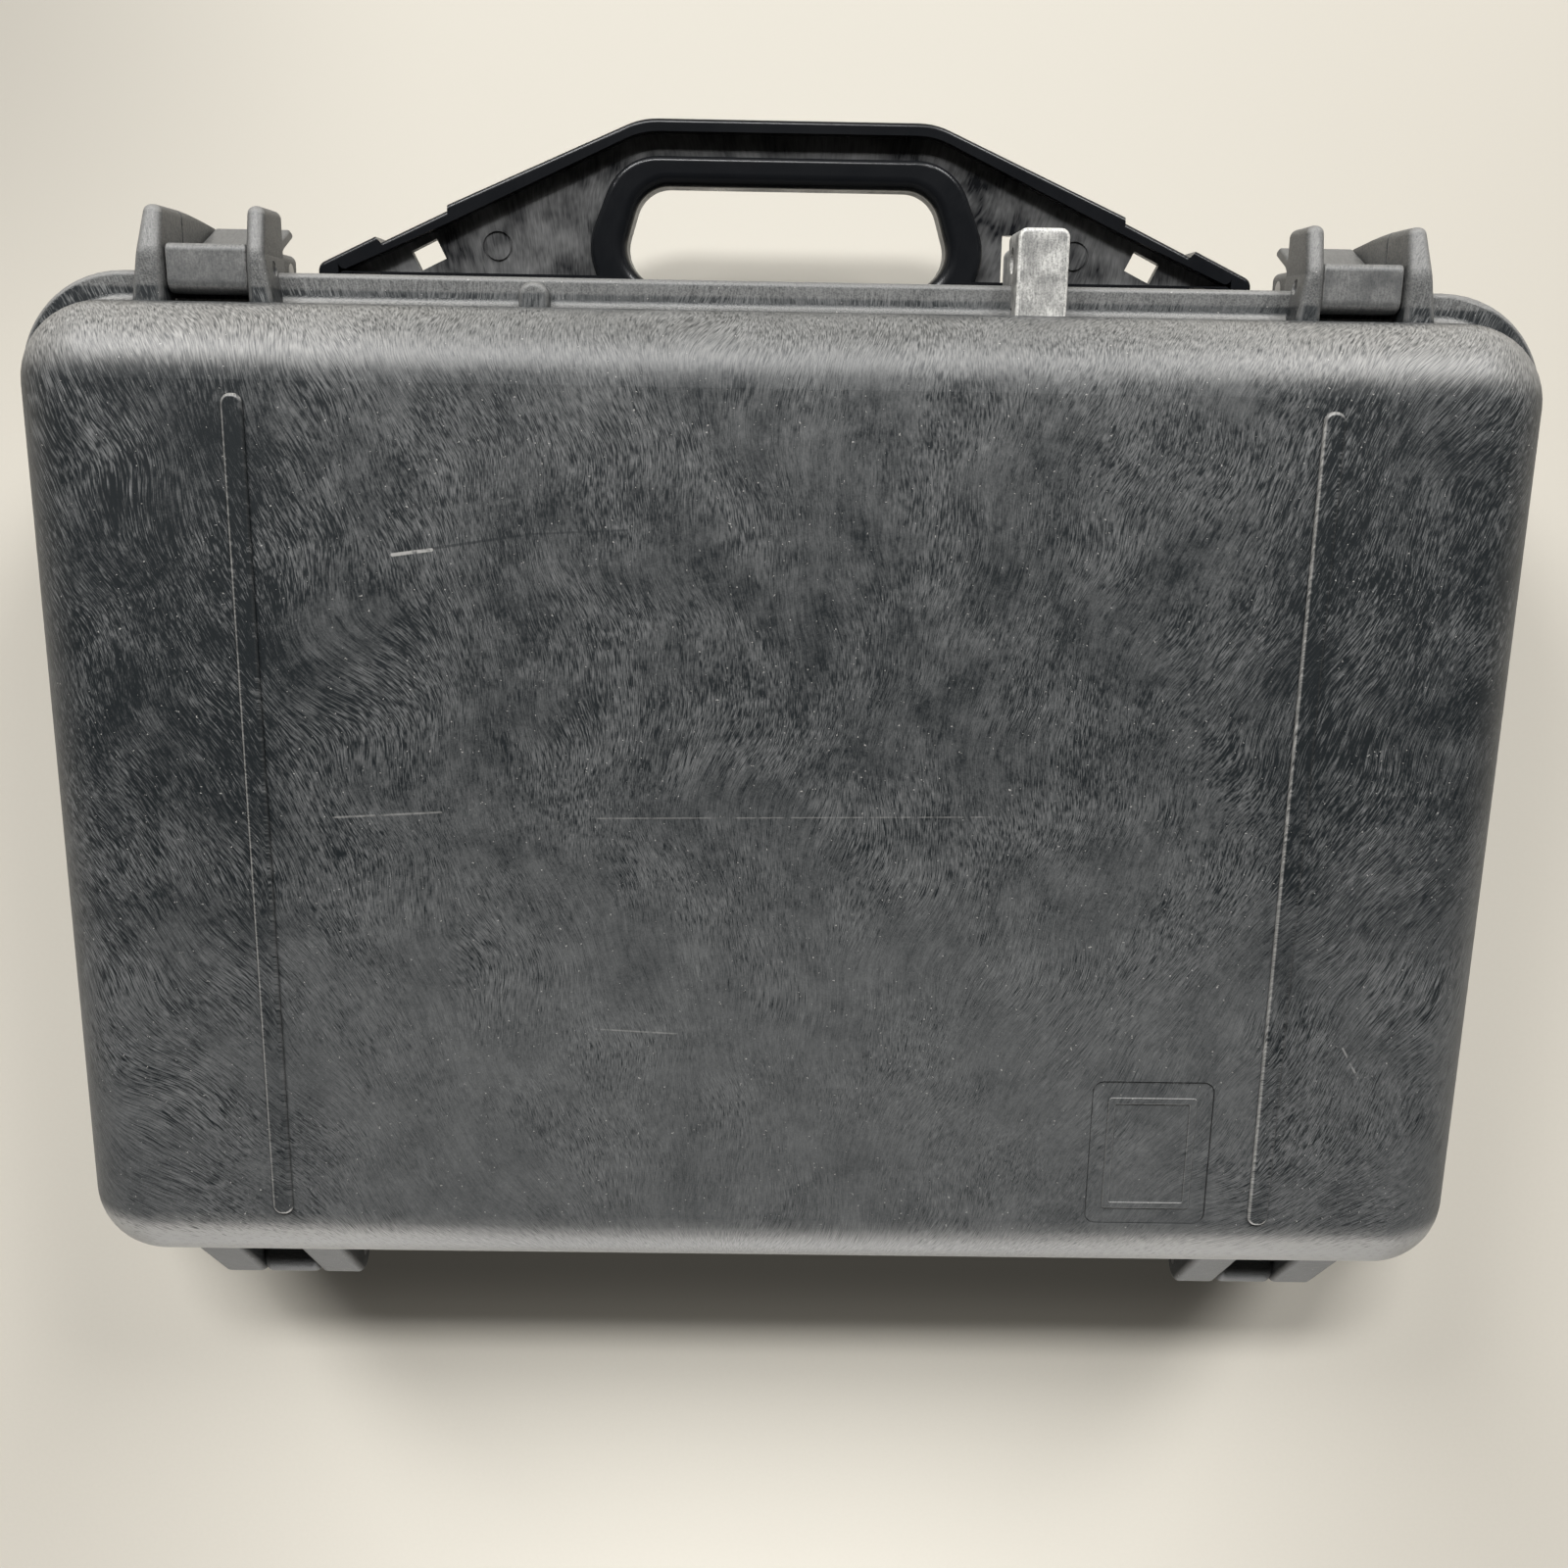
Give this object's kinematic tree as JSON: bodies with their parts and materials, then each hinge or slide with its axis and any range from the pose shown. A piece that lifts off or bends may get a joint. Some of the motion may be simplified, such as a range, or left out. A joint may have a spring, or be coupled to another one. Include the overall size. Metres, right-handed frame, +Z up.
{
  "type": "hard case",
  "caption": "Moulded hard case, attache size: hinged lid with rim seal, lever latches, fold-down carrying handle, padlock hasp and pressure vent.",
  "frame": {"origin": "middle of the whole object's box, at the level of the base ribs that it lies on", "axes": "+Z up through base and lid, X along the hinge, -Y towards the latches and the handle"},
  "size_m": [0.425, 0.3536, 0.1125],
  "materials": {
    "case_plastic": "moulded, swirled, worn satin",
    "fitting_plastic": "moulded, worn, speckled",
    "handle_plastic": "moulded satin",
    "badge_plastic": "moulded satin, plain",
    "seal_rubber": "soft matte",
    "pin_steel": "drawn bright",
    "vent_plastic": "moulded satin",
    "vent_brass": "turned"
  },
  "bodies": {
    "base": {"base_shell": "case_plastic", "hasp_staple": "fitting_plastic", "vent_seal": "seal_rubber", "vent_bushing": "vent_brass", "catch_bar_left": "pin_steel", "catch_bar_right": "pin_steel", "hinge_pin_left": "pin_steel", "hinge_pin_right": "pin_steel"},
    "lid": {"lid_shell": "case_plastic", "lid_seal": "seal_rubber", "hasp_hood": "fitting_plastic", "badge_plate": "badge_plastic", "latch_pin_left": "pin_steel", "latch_pin_right": "pin_steel"},
    "latch_left": {"latch_lever_left": "fitting_plastic"},
    "latch_right": {"latch_lever_right": "fitting_plastic"},
    "handle": {"handle": "handle_plastic", "handle_pin_left": "pin_steel", "handle_pin_right": "pin_steel"},
    "vent_knob": {"vent_knob": "vent_plastic"}
  },
  "joints": [
    {"name": "lid_hinge", "type": "hinge", "parent": "base", "child": "lid", "pos_m": [0, 0.16955, 0.06805], "axis": [-1, 0, 0], "range_deg": [0, 110]},
    {"name": "latch_left_pivot", "type": "hinge", "parent": "lid", "child": "latch_left", "pos_m": [-0.1564, -0.13355, 0.0782], "axis": [-1, 0, 0], "range_deg": [0, 115]},
    {"name": "latch_right_pivot", "type": "hinge", "parent": "lid", "child": "latch_right", "pos_m": [0.1564, -0.13355, 0.0782], "axis": [-1, 0, 0], "range_deg": [0, 115]},
    {"name": "handle_pivot", "type": "hinge", "parent": "base", "child": "handle", "pos_m": [0, -0.12975, 0.0477], "axis": [1, 0, 0], "range_deg": [0, 90]},
    {"name": "vent_turn", "type": "hinge", "parent": "base", "child": "vent_knob", "pos_m": [0, -0.12545, 0.033], "axis": [0, -1, 0], "range_deg": [0, 180]}
  ]
}
